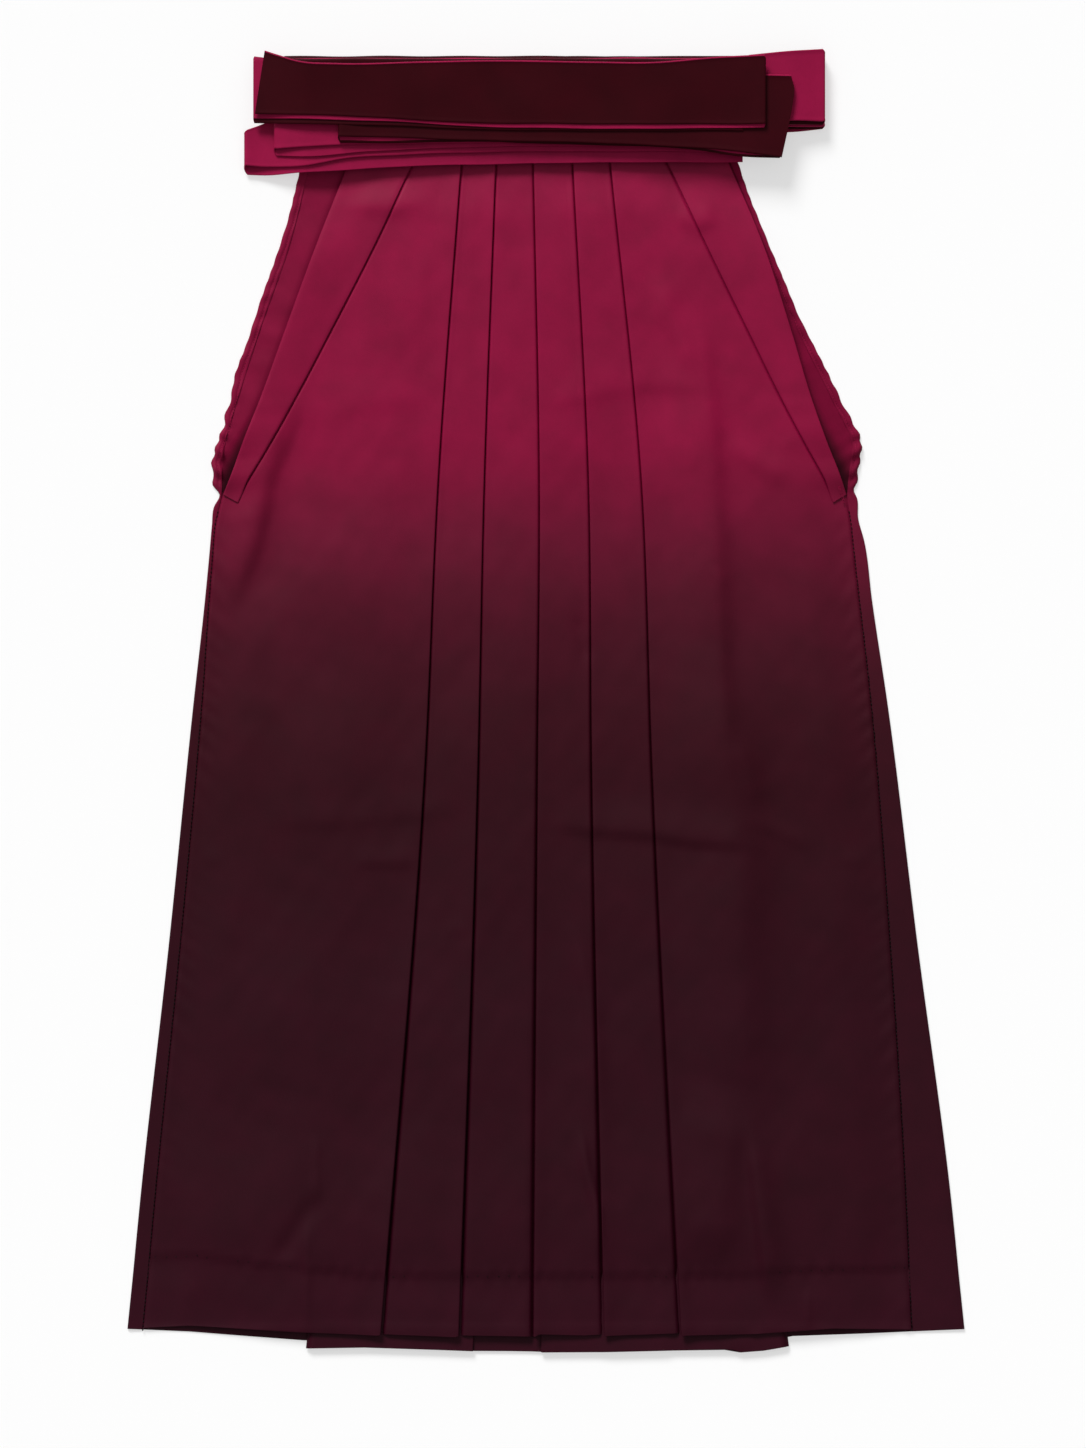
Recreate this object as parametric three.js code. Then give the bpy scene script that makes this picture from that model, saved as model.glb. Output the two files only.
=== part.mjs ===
// Hakama trousers laid flat, front up, with the belt bands (himo) folded over the waist.
// Millimetres. X is to the viewer's right, Y runs up the garment from hem to waist, Z is up
// from the surface it lies on. The origin is under the middle of the whole garment.
import * as THREE from 'three';

// ---------- driving sizes ----------
const CLOTH = 1;                 // wall of every panel
const GAP = 0.3;                 // air between two layers, and at every seam
const LAYER = CLOTH + GAP;       // rise from one layer of cloth to the next
const BAND = 1.5;                // wall of a belt band: folded cloth with its stiffening
const WAIST = 440;               // height of the seam between pleats and waist bands
const BAND_TOP = 497;            // top of the waist bands
const OPENING_END = 168;         // bottom of the side openings
const CROTCH = 60;               // where the two legs part
const HEM = -515;                // nominal height of the hem, which HEMS below refines
const WAISTBAND = 2;             // a flat waist band's thickness
const RETURN = 0.55;             // part of a pleat's spacing that its hidden fold takes
const SEAM_IN = 45;              // from a leg's innermost edge to the seam of its back, at the hem
const SEAM_IN_TOP = 4;           // the same at the crotch
const INNER_SHORT = 2;           // how far an inner leg stops short of the back's hidden fold
const CLIMB_NEAR = 4;            // the front climbs onto the back's hidden folds between these
const CLIMB_FAR = 34;            // two distances outside them
const CLIMB_ABOVE = 49;          // height over which it climbs onto the inner legs
const SLANT = 6.5;               // drop of the cut that ends each sasahida

// Places across the garment, by height. back: side edge of the back. turn: inner edge of the back's
// turned hem, and below the opening the side seam. front: side edge of the front panel.
// strip: inner edge of the sasahida. L and R are the two sides.
const OUTLINE = [
  // y   backL   turnL  frontL  stripL  stripR  frontR  turnR  backR
  [440, -199, -192, -160, -108, 98.5, 148, 150, 156],
  [375, -215, -208, -185.5, -138, 129, 175.5, 176.5, 180.5],
  [300, -241, -234, -213, -176.5, 165.5, 200, 206.5, 213.5],
  [245, -258.5, -251.5, -233, -205.5, 192.5, 216.5, 233.5, 240.5],
  [210, -268, -261.5, -247, -225, 211, 229, 249, 256],
  [185, -271.5, -264, -256, -240, 225, 239, 247, 254],
  [168, -266, -264.5, -262.8, -251, 234, 244.5, 245.5, 251.8],
  [150, -272, -268.5, -268, -255, 236, 247.5, 248, 254],
  [110, -275, -272.5, -272, -250, 238, 252, 252.5, 261.5],
  [0, -287, -280.5, -280, -252, 245, 264.5, 265, 278],
  [-200, -307.5, -298.5, -298, -268, 256, 280.5, 281, 303],
  [-400, -330, -318.5, -318, -286, 268, 293, 293.5, 329.5],
  [-515, -341, -329, -328.5, -290, 272, 298, 298.5, 341],
].map(([y, backL, turnL, frontL, stripL, stripR, frontR, turnR, backR]) => (
  { y, backL, turnL, frontL, stripL, stripR, frontR, turnR, backR }));

// Fold lines of the five front pleats. One and two are right-hand edges, three to five left-hand.
const PLEATS = [
  // y   one   two   three  four  five
  [440, -69, -41, -10, 22, 52.5],
  [180, -88, -50.5, -5, 35, 78],
  [-50, -98.5, -55.5, -6.5, 37.5, 86.5],
  [-515, -134.5, -71, -10, 47.5, 110],
].map(([y, one, two, three, four, five]) => ({ y, one, two, three, four, five }));

// The back: the line where its two pleats meet, their hidden inner folds, and the innermost
// edge of each leg.
const BACK_LINES = [
  // y   meet   innerL  innerR  legL   legR
  [440, -18, -72, 62, -20, -20],
  [60, -6, -135, 120, -21, -19],
  [-515, 6, -195.5, 198, -59.5, -4],
].map(([y, meet, innerL, innerR, legL, legR]) => ({ y, meet, innerL, innerR, legL, legR }));

// Hem heights across the garment: the front, the back's outer layer, and the layers inside the legs.
const HEMS = [
  // x    front   back    inner
  [-341, -512, -512, -527],
  [-290, -509, -512, -527],
  [-233, -512, -517, -527],
  [-195.5, -514.5, -521.5, -527.3],
  [-135, -516.5, -523.5, -527],
  [-60, -517, -525, -529.8],
  [-4, -517.5, -525, -529.8],
  [44, -517, -525, -530.2],
  [110, -516.5, -524, -529],
  [168, -516, -523.5, -529.5],
  [198, -514, -523, -525.5],
  [233, -511, -520.5, -525],
  [298, -512.2, -514.5, -525],
  [341, -511.7, -511.7, -525],
].map(([x, front, back, inner]) => ({ x, front, back, inner }));

// Heights of the rows that every panel is lofted through, hem first.
const ROWS = [HEM, -400, -200, -60, CROTCH, 110, 150, OPENING_END, 185, 210, 245, 300, 375, WAIST];

// ---------- small helpers ----------
const mix = (a, b, t) => a + (b - a) * t;
const smooth = (a, b, v) => {
  const t = Math.min(1, Math.max(0, (v - a) / (b - a)));
  return t * t * (3 - 2 * t);
};
const layerZ = (n) => CLOTH / 2 + n * LAYER;   // middle of the nth layer of cloth

// One column of a table at any place between its rows, by straight lines. key names the table's
// own places, and column the value wanted there.
function at(table, key, place, column) {
  const rising = [...table].sort((a, b) => a[key] - b[key]);
  const last = rising.length - 1;
  if (place <= rising[0][key]) return rising[0][column];
  if (place >= rising[last][key]) return rising[last][column];
  const i = rising.findIndex((row) => row[key] > place);
  const [a, b] = [rising[i - 1], rising[i]];
  return mix(a[column], b[column], (place - a[key]) / (b[key] - a[key]));
}
const outline = (y, column) => at(OUTLINE, 'y', y, column);
const pleat = (y, column) => at(PLEATS, 'y', y, column);
const backLine = (y, column) => at(BACK_LINES, 'y', y, column);
const hem = (x, column) => at(HEMS, 'x', x, column);

// A half-round fold from one layer's middle height to another's, reaching out to edge. side is +1
// for a fold that bulges to +X.
function fold(edge, zFrom, zTo, side, wall = CLOTH) {
  const radius = Math.abs(zTo - zFrom) / 2;
  const centre = edge - side * (radius + wall / 2);
  return [-90, -30, 30, 90].map((degrees) => {
    const a = THREE.MathUtils.degToRad(degrees);
    const up = Math.sign(zTo - zFrom);
    return { x: centre + side * radius * Math.cos(a), z: (zFrom + zTo) / 2 + up * radius * Math.sin(a) };
  });
}

// A cloth wall. Each row is the middle line of one cut across it, and all rows have as many points.
function wall(name, rows, thickness, colour, roughness = 0.6) {
  const columns = rows[0].length;
  const corners = [];
  for (const side of [0.5, -0.5]) {
    for (const row of rows) {
      row.forEach((point, i) => {
        const before = row[Math.max(0, i - 1)];
        const after = row[Math.min(columns - 1, i + 1)];
        const run = Math.hypot(after.x - before.x, after.z - before.z);
        const shift = side * thickness / run;
        corners.push(point.x - (after.z - before.z) * shift, point.y, point.z + (after.x - before.x) * shift);
      });
    }
  }
  const id = (side, r, i) => (side * rows.length + r) * columns + i;
  const faces = [];
  const quad = (a, b, c, d) => faces.push(a, b, c, a, c, d);
  for (let r = 0; r < rows.length - 1; r += 1) {
    for (let i = 0; i < columns - 1; i += 1) {
      quad(id(0, r, i), id(0, r, i + 1), id(0, r + 1, i + 1), id(0, r + 1, i));
      quad(id(1, r, i), id(1, r + 1, i), id(1, r + 1, i + 1), id(1, r, i + 1));
    }
    quad(id(0, r, 0), id(0, r + 1, 0), id(1, r + 1, 0), id(1, r, 0));
    const e = columns - 1;
    quad(id(0, r, e), id(1, r, e), id(1, r + 1, e), id(0, r + 1, e));
  }
  const top = rows.length - 1;
  for (let i = 0; i < columns - 1; i += 1) {
    quad(id(0, 0, i), id(1, 0, i), id(1, 0, i + 1), id(0, 0, i + 1));
    quad(id(0, top, i), id(0, top, i + 1), id(1, top, i + 1), id(1, top, i));
  }
  const geometry = new THREE.BufferGeometry();
  geometry.setAttribute('position', new THREE.Float32BufferAttribute(corners, 3));
  geometry.setIndex(faces);
  return named(name, geometry, colour, roughness);
}

// One node, with its faces turned outwards and a material of its own.
function named(name, geometry, colour, roughness = 0.6) {
  const p = geometry.getAttribute('position');
  const index = geometry.getIndex();
  const corner = [0, 1, 2].map(() => new THREE.Vector3());
  let volume = 0;
  for (let i = 0; i < index.count; i += 3) {
    corner.forEach((v, k) => v.fromBufferAttribute(p, index.getX(i + k)));
    volume += corner[0].dot(corner[1].cross(corner[2]));
  }
  if (volume < 0) index.array.reverse();
  geometry.computeVertexNormals();
  const mesh = new THREE.Mesh(geometry, new THREE.MeshStandardMaterial({ color: colour, roughness }));
  mesh.name = name;
  return mesh;
}

// Points at the given shares of the way from one point to another.
const run = (from, to, shares) => shares.map((share) => ({
  x: mix(from.x, to.x, share), z: mix(from.z, to.z, share),
}));

// Puts a row of points at its height along the garment, or on the hem's line in the lowest row.
const settle = (points, y, column) => points.map((point) => (
  { ...point, y: y === HEM ? hem(point.x, point.hem ?? column) : y }));

const garment = new THREE.Group();
const WINE = 0x5c1a30;
const CRIMSON = 0x8a1d42;
const PLUM = 0x371019;

// ---------- back panels ----------
// From the side seam on the front face, round the side edge, along the surface to the centre, then
// in a deep pleat: back to the hidden inner fold, and over it to the seam with the inner leg.
function backPanel(name, side) {
  const L = side < 0;
  const rows = ROWS.map((y) => {
    const turn = outline(y, L ? 'turnL' : 'turnR');
    const edge = outline(y, L ? 'backL' : 'backR');
    const meet = backLine(y, 'meet') + side * GAP / 2;
    const inner = backLine(y, L ? 'innerL' : 'innerR');
    const seam = backSeam(y, side);
    const [z0, z1, z2] = [0, 1, 2].map(layerZ);
    const round = fold(edge, z1, z0, side);
    const centre = fold(meet, z0, z1, -side);
    const hidden = fold(inner, z1, z2, side);
    const outer = [{ x: turn, z: z1 }, ...round,
      ...run(round[3], centre[0], [0.1, 0.35, 0.65])].map((p) => ({ ...p, hem: 'back' }));
    const pleated = [...centre, ...run(centre[3], hidden[0], [0.5]), ...hidden,
      ...run(hidden[3], { x: seam, z: z2 }, [0.5, 1])].map((p) => ({ ...p, hem: 'inner' }));
    return settle([...outer, ...pleated], y, 'back');
  });
  return wall(name, rows, CLOTH, WINE);
}

// The seam that ends the back's top layer: at the centre above the crotch, beside the leg below it.
function backSeam(y, side) {
  const leg = backLine(y, side < 0 ? 'legL' : 'legR');
  if (y > CROTCH) return leg + side * GAP / 2;
  return leg + side * (y === CROTCH ? SEAM_IN_TOP : SEAM_IN);
}

garment.add(backPanel('back_left', -1), backPanel('back_right', 1));

// ---------- inner legs ----------
// From the seam with the back to the leg's innermost edge, over it, and back out under the front.
function innerLeg(name, side) {
  const L = side < 0;
  const rows = ROWS.filter((y) => y <= CROTCH).map((y) => {
    const edge = backLine(y, L ? 'legL' : 'legR');
    const far = backLine(y, L ? 'innerL' : 'innerR') - side * INNER_SHORT;
    const [z2, z3] = [layerZ(2), layerZ(3)];
    const round = fold(edge, z2, z3, -side);
    const start = { x: backSeam(y, side) - side * GAP, z: z2 };
    const points = [start, ...round, ...run(round[3], { x: far, z: z3 }, [0.25, 0.5, 0.75, 1])];
    return settle(points, y, 'inner');
  });
  return wall(name, rows, CLOTH, WINE);
}
garment.add(innerLeg('inner_leg_left', -1), innerLeg('inner_leg_right', 1));

// ---------- front panels ----------
// How many layers lie under the front at a place: one at the sides, more over the back's pleats
// and the inner legs.
function layersUnder(x, y) {
  const [left, right] = [backLine(y, 'innerL'), backLine(y, 'innerR')];
  const over = smooth(left - CLIMB_FAR, left - CLIMB_NEAR, x)
    * (1 - smooth(right + CLIMB_NEAR, right + CLIMB_FAR, x));
  return 1 + over * (2 + smooth(CROTCH + CLIMB_ABOVE, CROTCH, y));
}

// Middle of the front's side panel, which climbs onto the first pleat beside it.
function sideZ(x, y, edge, hidden) {
  const climb = smooth(mix(hidden, edge, 0.5), hidden, x);
  return layerZ(layersUnder(x, y) + 2 * climb);
}

// The side panel from its edge, under the sasahida's inner edge, to the hidden fold of the pleat
// beside it.
function sidePanel(y, side, hidden) {
  const L = side < 0;
  const edge = outline(y, L ? 'frontL' : 'frontR');
  const strip = outline(y, L ? 'stripL' : 'stripR');
  const places = [0, 1 / 3, 2 / 3, 1].map((share) => mix(edge, strip, share))
    .concat([0.25, 0.5, 0.75, 1].map((share) => mix(strip, hidden, share)));
  return places.map((x) => ({ x, z: sideZ(x, y, edge, hidden) }));
}

// One knife pleat, entered on top of its hidden fold: along the top to its edge, round it, back
// underneath to the hidden fold, and out along the bottom. side is the way its edge points.
function knife(y, crease, depth, side) {
  const hidden = crease - side * depth;
  const z = (x, n) => layerZ(layersUnder(x, y) + n);
  const round = fold(crease, z(crease, 2), z(crease, 1), side);
  const inner = fold(hidden, z(hidden, 1), z(hidden, 0), -side);
  const past = { x: crease + side * LAYER, z: z(crease, 0) };
  return { hidden, points: [...round, ...inner, past] };
}

// The left front: side panel, pleats one and two, and the centre panel that runs under pleat three.
function frontLeft(y) {
  const [one, two, three] = ['one', 'two', 'three'].map((name) => pleat(y, name));
  const spacing = two - one;
  const first = knife(y, one, spacing * RETURN, 1);
  const second = knife(y, two, spacing * RETURN, 1);
  const top = { x: second.hidden, z: layerZ(layersUnder(second.hidden, y) + 2) };
  const end = { x: three + (pleat(y, 'four') - three) * RETURN, z: layerZ(layersUnder(three, y)) };
  return [...sidePanel(y, -1, first.hidden), ...first.points,
    ...run(first.points.at(-1), top, [0.5, 1]), ...second.points,
    ...run(second.points.at(-1), end, [0.5, 1])];
}

// The right front, from its side: side panel, then pleats five, four and three, whose edges point left.
function frontRight(y) {
  const [three, four, five] = ['three', 'four', 'five'].map((name) => pleat(y, name));
  const fifth = knife(y, five, (five - four) * RETURN, -1);
  const fourth = knife(y, four, (five - four) * RETURN, -1);
  const depth = (four - three) * RETURN;
  const z = (x, n) => layerZ(layersUnder(x, y) + n);
  const onFourth = { x: fourth.hidden, z: z(fourth.hidden, 2) };
  const onThird = { x: three + depth, z: z(three + depth, 2) };
  const round = fold(three, z(three, 2), z(three, 1), -1);
  return [...sidePanel(y, 1, fifth.hidden), ...fifth.points,
    ...run(fifth.points.at(-1), onFourth, [0.5, 1]), ...fourth.points,
    ...run(fourth.points.at(-1), onThird, [0.5, 1]), ...round,
    ...run(round[3], { x: three + depth, z: z(three, 1) }, [1])];
}

garment.add(
  wall('front_left', ROWS.map((y) => settle(frontLeft(y), y, 'front')), CLOTH, CRIMSON),
  wall('front_right', ROWS.map((y) => settle(frontRight(y), y, 'front')), CLOTH, CRIMSON),
);

// ---------- sasahida ----------
// A slanted strip on each side edge of the front, one layer above it, ending in a short slanted cut.
function sasahida(name, side) {
  const L = side < 0;
  const rows = ROWS.filter((y) => y >= OPENING_END).map((y) => {
    const crease = pleat(y, L ? 'one' : 'five');
    const spacing = L ? pleat(y, 'two') - crease : crease - pleat(y, 'four');
    const strip = sidePanel(y, side, crease + side * spacing * RETURN).slice(0, 4);
    return strip.map((point, i) => (
      { x: point.x, y: y === OPENING_END ? y - SLANT * i / 3 : y, z: point.z + LAYER }));
  });
  return wall(name, rows, CLOTH, CRIMSON);
}
garment.add(sasahida('sasahida_left', -1), sasahida('sasahida_right', 1));

// ---------- waist bands ----------
// A flat band above each seam, with the back's on the surface and the front's over its pleats.
function waistband(name, left, right, z) {
  const places = [left, (left + right) / 2, right];
  const rows = [WAIST + GAP, BAND_TOP].map((y) => places.map((x) => ({ x, y, z })));
  return wall(name, rows, WAISTBAND, PLUM);
}
garment.add(
  waistband('back_waistband', outline(WAIST, 'backL'), outline(WAIST, 'backR'), 1),
  waistband('front_waistband', outline(WAIST, 'frontL'), outline(WAIST, 'frontR'), 6),
);

// ---------- belt bands ----------
// Each folded stretch that shows, top one first. A stretch is a list of layers, each with its height
// above the surface and its lower and upper edges along X. Layers are listed in the order in which
// the band runs through them, and a half-round fold joins each to the next.
const DROOP_FROM = -192;         // the left ends hang down beside the garment from here
const droop = (x) => 7.5 * smooth(DROOP_FROM, -240, x);

// The edges of one layer, with a point added wherever the droop needs one.
function bentEdges(edges) {
  const rising = edges.map(([x, low, high]) => ({ x, low, high })).sort((a, b) => a.x - b.x);
  const [first, last] = [rising[0].x, rising.at(-1).x];
  const added = [DROOP_FROM, -205, -220].filter((x) => (
    x > first + 1 && x < last && rising.every((point) => Math.abs(point.x - x) > 2)));
  const all = rising.concat(added.map((x) => (
    { x, low: at(rising, 'x', x, 'low'), high: at(rising, 'x', x, 'high') })));
  all.sort((a, b) => a.x - b.x);
  return edges[0][0] < edges.at(-1)[0] ? all : all.reverse();
}

function band(name, layers, colour) {
  const line = [];
  layers.forEach((layer, n) => {
    const points = bentEdges(layer.edges).map((point) => ({ ...point, z: layer.z }));
    const next = layers[n + 1];
    line.push(...points);
    if (!next) return;
    const end = points.at(-1);
    const [x, low, high] = next.edges[0];
    const side = Math.sign(end.x - points[0].x);
    const arc = fold(side * Math.max(side * end.x, side * x) + side * BAND, layer.z, next.z, side, BAND);
    arc.slice(1, 3).forEach((p, k) => line.push(
      { ...p, low: mix(end.low, low, (k + 1) / 3), high: mix(end.high, high, (k + 1) / 3) }));
  });
  const rows = [0, 1].map((share) => line.map((p) => (
    { x: p.x, y: mix(p.low, p.high, share), z: p.z - droop(p.x) })));
  return wall(name, rows, BAND, colour);
}

garment.add(band('himo_top', [
  { z: 25.6,
    edges: [[-232, 476.5, 526], [-200, 475.5, 519], [-170, 475, 517.5], [-100, 470.5, 519.5],
      [-40, 468.5, 519], [85, 468, 518.5], [142, 468, 523], [177, 468, 525]] },
  { z: 23.4,
    edges: [[177, 466, 523.5], [85, 465, 518], [-40, 466, 518.5], [-150, 471, 517], [-200, 473, 519],
      [-234, 474, 524]] },
  { z: 21.2, edges: [[-234, 470, 523.5], [-150, 468, 518], [-40, 464, 518.5], [160, 463.5, 520]] },
], PLUM));

garment.add(band('himo_second', [
  { z: 19.4,
    edges: [[193, 442, 508.5], [154, 446, 509.5], [117, 449, 510], [44, 452.5, 511], [-70, 455.5, 513],
      [-131, 457.5, 514], [-167, 458, 514]] },
  { z: 17.2, edges: [[-167, 454, 512], [-90, 454, 512], [44, 451, 509], [117, 448, 506], [190, 441, 504]] },
], PLUM));

garment.add(band('himo_third', [
  { z: 15.4, edges: [[160, 453, 507], [-119, 452.5, 507], [-200, 450, 507], [-217.5, 449, 507]] },
  { z: 13.2, edges: [[-217.5, 443.5, 501], [-200, 442.5, 501], [-143, 446.5, 503], [160, 452, 506]] },
], CRIMSON));

garment.add(band('himo_lowest', [
  { z: 11.4,
    edges: [[160, 447, 500], [-119, 443.5, 500], [-164, 441, 498], [-200, 434.5, 488], [-225, 434.5, 472],
      [-240, 436, 466]] },
  { z: 9.2,
    edges: [[-240, 428.5, 464], [-225, 428, 470], [-200, 429.5, 484], [-164, 432, 489], [-119, 434.5, 492],
      [-21, 437.5, 495], [77, 439.5, 497], [160, 441, 499]] },
], CRIMSON));

garment.add(band('himo_right', [
  { z: 15.3, edges: [[165, 471.5, 525], [195, 471.5, 528], [225, 471, 530.2]] },
  { z: 11.8, edges: [[225, 468.5, 528], [165, 468.5, 524]] },
  { z: 8.3, edges: [[165, 467.5, 524], [225, 467, 527]] },
  { z: 4.8, edges: [[225, 466, 527], [165, 466, 523]] },
  { z: 1.3, edges: [[165, 463, 523], [205, 463.5, 524], [225, 466, 526]] },
], CRIMSON));

// The layers that nothing shows but their upper edges: one solid with a groove between each pair.
function hiddenLayers(name) {
  const [left, right] = [DROOP_FROM, 158];
  const [low, step, high] = [508.5, 514.6, 525];
  const [bottom, shoulder, top, grooves] = [0.5, 16, 20.1, 6];
  const [depth, lip] = [1.2, 0.6];   // of a groove
  const side = new THREE.Shape();
  side.moveTo(low, bottom);
  for (let n = 0; n < grooves; n += 1) {
    const [from, to] = [mix(bottom, top, n / grooves), mix(bottom, top, (n + 1) / grooves)];
    side.lineTo(high - depth, from);
    side.lineTo(high, from + lip);
    side.lineTo(high, to - lip);
  }
  side.lineTo(high - depth, top);
  side.lineTo(step, top);
  side.lineTo(step, shoulder);
  side.lineTo(low, shoulder);
  side.closePath();
  const geometry = new THREE.ExtrudeGeometry(side, { depth: right - left, bevelEnabled: false });
  geometry.applyMatrix4(new THREE.Matrix4().set(0, 0, 1, left, 1, 0, 0, 0, 0, 1, 0, 0, 0, 0, 0, 1));
  geometry.setIndex([...Array(geometry.getAttribute('position').count).keys()]);
  return named(name, geometry, PLUM);
}
garment.add(hiddenLayers('himo_hidden_layers'));

export default garment;
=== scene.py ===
"""Dip-dyed hakama laid flat, front up, with its own belt bands folded over the waist.

Lengths in the tables are millimetres, in the garment's own frame: X to the right, Y from hem to
waist, Z up from the surface. They become metres where a mesh is made.
"""
import math

import bpy
import numpy as np
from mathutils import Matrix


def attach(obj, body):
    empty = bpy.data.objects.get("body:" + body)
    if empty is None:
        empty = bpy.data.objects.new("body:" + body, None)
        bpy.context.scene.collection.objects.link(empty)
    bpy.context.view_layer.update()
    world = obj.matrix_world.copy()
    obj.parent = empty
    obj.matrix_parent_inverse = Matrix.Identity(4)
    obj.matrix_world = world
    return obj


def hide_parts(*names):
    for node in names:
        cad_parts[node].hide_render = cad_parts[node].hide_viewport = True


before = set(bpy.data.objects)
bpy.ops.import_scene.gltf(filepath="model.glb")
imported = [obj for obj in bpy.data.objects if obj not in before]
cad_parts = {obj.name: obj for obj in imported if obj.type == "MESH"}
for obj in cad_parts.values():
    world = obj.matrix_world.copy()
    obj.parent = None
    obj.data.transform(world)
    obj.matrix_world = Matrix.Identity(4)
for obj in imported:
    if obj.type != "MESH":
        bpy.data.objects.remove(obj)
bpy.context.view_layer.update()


# ---------- camera ----------
# A long lens straight above the garment, so that all of it shows with an even margin of surface.
PICTURE_TALL = 1.180           # metres of surface from the picture's top edge to its bottom edge
LENS, SENSOR = 180, 36
MIDDLE = (-0.0024, -0.0187)    # of the picture, from the garment's origin

shot = bpy.data.cameras.new("camera")
shot.lens = LENS
shot.sensor_width = SENSOR
shot.clip_end = 100
camera = bpy.data.objects.new("camera", shot)
camera.location = (*MIDDLE, PICTURE_TALL * LENS / SENSOR)
bpy.context.scene.collection.objects.link(camera)
bpy.context.scene.camera = camera
bpy.context.scene.view_settings.view_transform = "Standard"


# ---------- light and floor ----------
# White air all round, a soft light past the waist and to the left, and a white floor that glows a
# little itself, as a light table does, so that the shadows on it stay thin.
AIR = 0.27
LIGHTS = [   # name, strength, width in degrees, tilt from straight down, turn to the left
    ("window", 3.62, 21, 57, 20),
    ("fill", 0.52, 90, 20, 0),
]
GLOW = 0.54
FLOOR_WIDE = 12
FLOOR_TONE, FLOOR_GRAIN = 0.42, 0.004

world = bpy.data.worlds.new("air")
world.use_nodes = True
world.node_tree.nodes["Background"].inputs["Color"].default_value = (1, 1, 1, 1)
world.node_tree.nodes["Background"].inputs["Strength"].default_value = AIR
bpy.context.scene.world = world

for name, strength, width, tilt, turn in LIGHTS:
    sun = bpy.data.lights.new(name, "SUN")
    sun.energy = strength
    sun.angle = math.radians(width)
    lamp = bpy.data.objects.new(name, sun)
    lamp.rotation_euler = (math.radians(-tilt), 0, math.radians(turn))
    bpy.context.scene.collection.objects.link(lamp)


class Number:
    """A node's output. Plain arithmetic on it adds Math nodes to its tree."""

    def __init__(self, tree, socket):
        self.tree = tree
        self.socket = socket

    def maths(self, operation, *values):
        return self.tree.add("ShaderNodeMath", {"operation": operation}, dict(enumerate(values)))["Value"]

    def __add__(self, other):
        return self.maths("ADD", self, other)

    def __sub__(self, other):
        return self.maths("SUBTRACT", self, other)

    def __rsub__(self, other):
        return self.maths("SUBTRACT", other, self)

    def __mul__(self, other):
        return self.maths("MULTIPLY", self, other)

    __radd__ = __add__
    __rmul__ = __mul__


class Tree:
    """A node tree being filled, for a material or for Geometry Nodes."""

    def __init__(self, nodes):
        self.nodes = nodes
        self.nodes.nodes.clear()

    def add(self, kind, settings=None, sockets=None):
        """Adds a node: its settings first, with a ramp's stops among them, then values or links."""
        node = self.nodes.nodes.new(kind)
        for name, value in (settings or {}).items():
            if name == "stops":
                ramp = node.color_ramp.elements
                while len(ramp) < len(value):
                    ramp.new(1)
                for stop, (place, colour) in zip(ramp, value):
                    stop.position = place
                    stop.color = (*colour, 1)
            else:
                setattr(node, name, value)
        for name, value in (sockets or {}).items():
            if isinstance(value, Number):
                self.nodes.links.new(value.socket, node.inputs[name])
            else:
                node.inputs[name].default_value = value
        return {output.name: Number(self, output) for output in node.outputs if output.enabled}


def new_material(name):
    material = bpy.data.materials.new(name)
    material.use_nodes = True
    return material, Tree(material.node_tree)


def surface(tree, sockets):
    """Ends a material in one Principled shader."""
    shader = tree.add("ShaderNodeBsdfPrincipled", {}, sockets)
    tree.add("ShaderNodeOutputMaterial", {}, {"Surface": shader["BSDF"]})


floor_paper, tree = new_material("floor_paper")
tone = tree.add("ShaderNodeTexNoise", {}, {"Scale": 3.0})["Fac"]
grey = tree.add("ShaderNodeCombineColor", {}, {
    name: FLOOR_TONE + tone * FLOOR_GRAIN for name in ("Red", "Green", "Blue")})
surface(tree, {"Base Color": grey["Color"], "Roughness": 0.95, "Specular IOR Level": 0.0,
               "Emission Color": (1, 1, 1, 1), "Emission Strength": GLOW})

half = FLOOR_WIDE / 2
floor_mesh = bpy.data.meshes.new("floor")
floor_mesh.from_pydata(
    [(-half, -half, 0), (half, -half, 0), (half, half, 0), (-half, half, 0)], [], [(0, 1, 2, 3)])
floor_mesh.materials.append(floor_paper)
floor = bpy.data.objects.new("floor", floor_mesh)
bpy.context.scene.collection.objects.link(floor)


# ---------- dyed cloth ----------
# Smooth, slightly lustrous polyester twill, dip-dyed after weaving: crimson from the waist to past
# the side openings, then wine, then a brown plum down to the hem.
THREAD = 0.00042               # metres from one twill line to the next
DYE = [   # height, then the dye's red, green and blue
    # The lowest stop is a little lighter and bluer than the one above it: painted light, against the shade of
    # the cloth's slope down to the hem.
    (-515, 45, 2, 18), (-400, 43, 2, 16), (-240, 43, 2, 16), (-80, 45, 2, 15),
    (-7, 53, 4, 19), (42, 64, 6, 25),
    (90, 78, 7, 31), (139, 98, 8, 40), (188, 119, 7, 48), (215, 128, 7, 52), (440, 131, 9, 54),
]
DYE_LOW, DYE_HIGH = DYE[0][0], DYE[-1][0]


def linear(*colour):
    """Red, green and blue from 0 to 255 as a screen shows them, made linear."""
    return tuple(((c / 255 + 0.055) / 1.055) ** 2.4 if c > 10 else c / 255 / 12.92 for c in colour)


def twill(tree, place):
    """A bump of fine slanting lines, one thread wide, broken up so that they never look printed."""
    wander = tree.add("ShaderNodeTexNoise", {}, {"Vector": place, "Scale": 700.0, "Detail": 2.0})["Fac"]
    xyz = tree.add("ShaderNodeSeparateXYZ", {}, {"Vector": place})
    phase = (xyz["X"] + xyz["Y"] * 0.5) * (2 * math.pi / THREAD)
    line = phase.maths("SINE", phase + wander * 3.0)
    return tree.add("ShaderNodeBump", {}, {
        "Height": line + wander * 1.2, "Strength": 0.25, "Distance": 0.00004})


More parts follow.
